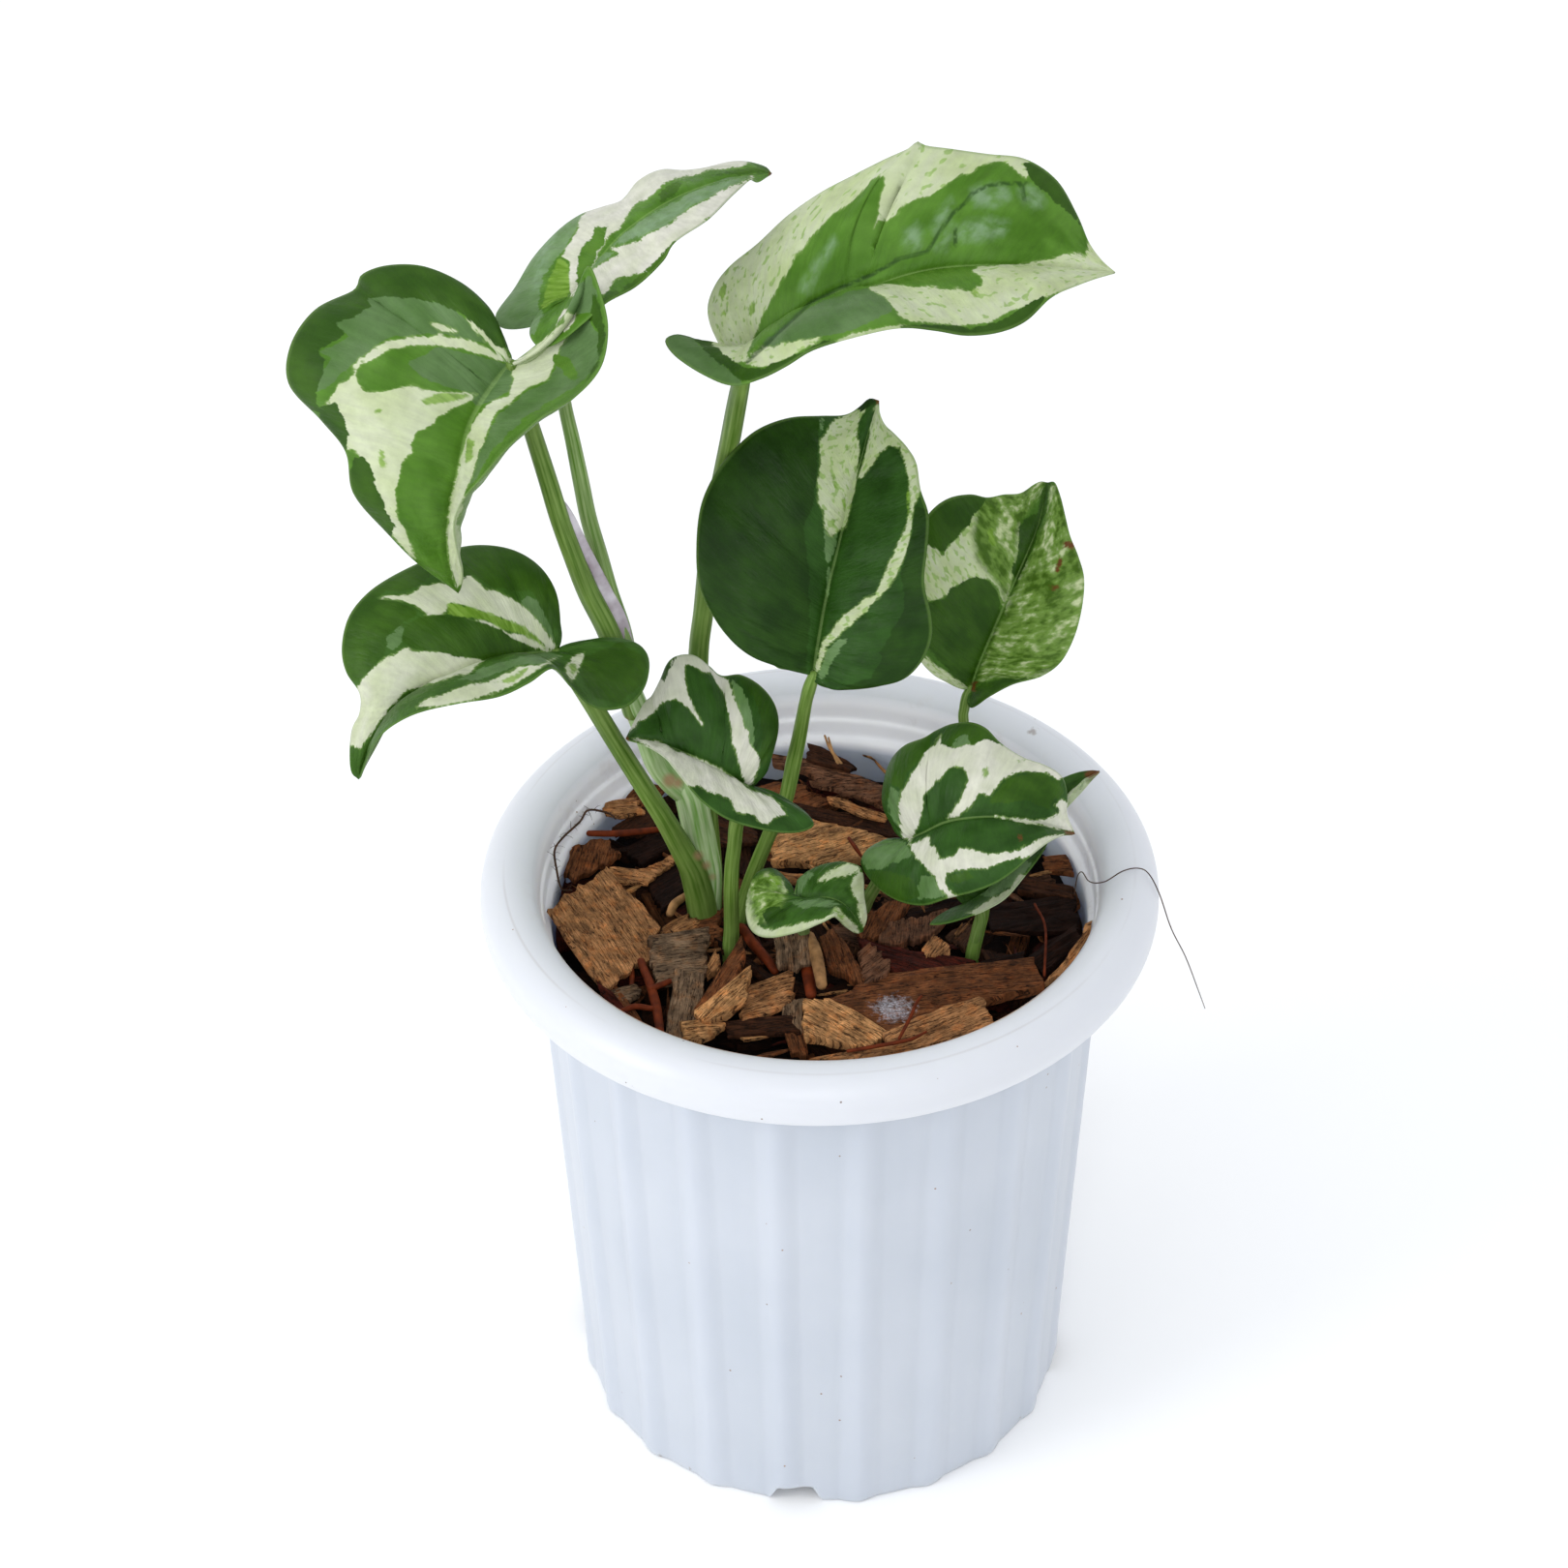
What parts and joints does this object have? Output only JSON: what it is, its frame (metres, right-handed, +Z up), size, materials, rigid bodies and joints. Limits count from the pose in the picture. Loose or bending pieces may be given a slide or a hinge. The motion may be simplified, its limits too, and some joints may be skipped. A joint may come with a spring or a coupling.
{
  "type": "potted pothos plant",
  "caption": "Variegated heart-leaved trailing plant on green stalks, rooted in coarse bark chips in a ribbed white round nursery pot with a rolled rim.",
  "frame": {"origin": "centre of the pot's resting face, on the dimple in the middle of its floor", "axes": "+Z up along the pot's axis; -Y is the side that the picture was taken from; +X is to the right there, where the longest level leaf points"},
  "size_m": [0.182, 0.15, 0.309],
  "materials": {
    "pot_plastic": "satin white moulded plastic, lightly scuffed",
    "bark": "rough dry bark and wood chips",
    "stalk": "smooth fleshy green stalk",
    "leaf": "waxy leaf, green with cream patches"
  },
  "bodies": {
    "root": {"pot": "pot_plastic", "bark_mix": "bark", "stem_a": "stalk", "stem_b": "stalk", "stem_c": "stalk", "stem_d": "stalk", "stem_e": "stalk", "stem_f": "stalk", "leaf_1": "leaf", "leaf_2": "leaf", "leaf_3": "leaf", "leaf_4": "leaf", "leaf_5": "leaf", "leaf_6": "leaf", "leaf_7": "leaf", "leaf_8": "leaf", "leaf_9": "leaf", "leaf_10": "leaf"}
  },
  "joints": []
}
